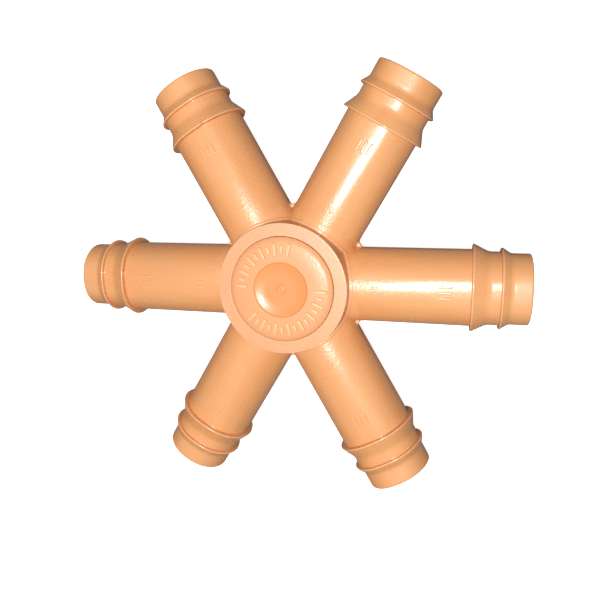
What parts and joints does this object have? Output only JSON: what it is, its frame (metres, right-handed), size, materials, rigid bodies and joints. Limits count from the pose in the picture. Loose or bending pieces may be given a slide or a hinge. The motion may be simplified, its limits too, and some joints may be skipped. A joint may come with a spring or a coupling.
{
  "type": "barbed star pipe connector",
  "caption": "Flat star of barbed pipe outlets round a closed hub with a round dished cap; splits one soft irrigation pipe into several.",
  "frame": {"origin": "on the hub's axis, on the flat foot ring that the fitting stands on", "axes": "+Z along the hub's axis towards the cap; +X along outlet 1; the outlets lie in one plane 9.5 mm above the foot"},
  "size_m": [0.0894, 0.0838, 0.0201],
  "materials": {
    "moulded_plastic": "glossy injection-moulded polypropylene, orange tan"
  },
  "bodies": {
    "root": {"hub_body": "moulded_plastic", "hub_cap": "moulded_plastic", "barbed_outlet_1": "moulded_plastic", "barbed_outlet_2": "moulded_plastic", "barbed_outlet_3": "moulded_plastic", "barbed_outlet_4": "moulded_plastic", "barbed_outlet_5": "moulded_plastic", "barbed_outlet_6": "moulded_plastic"}
  },
  "joints": []
}
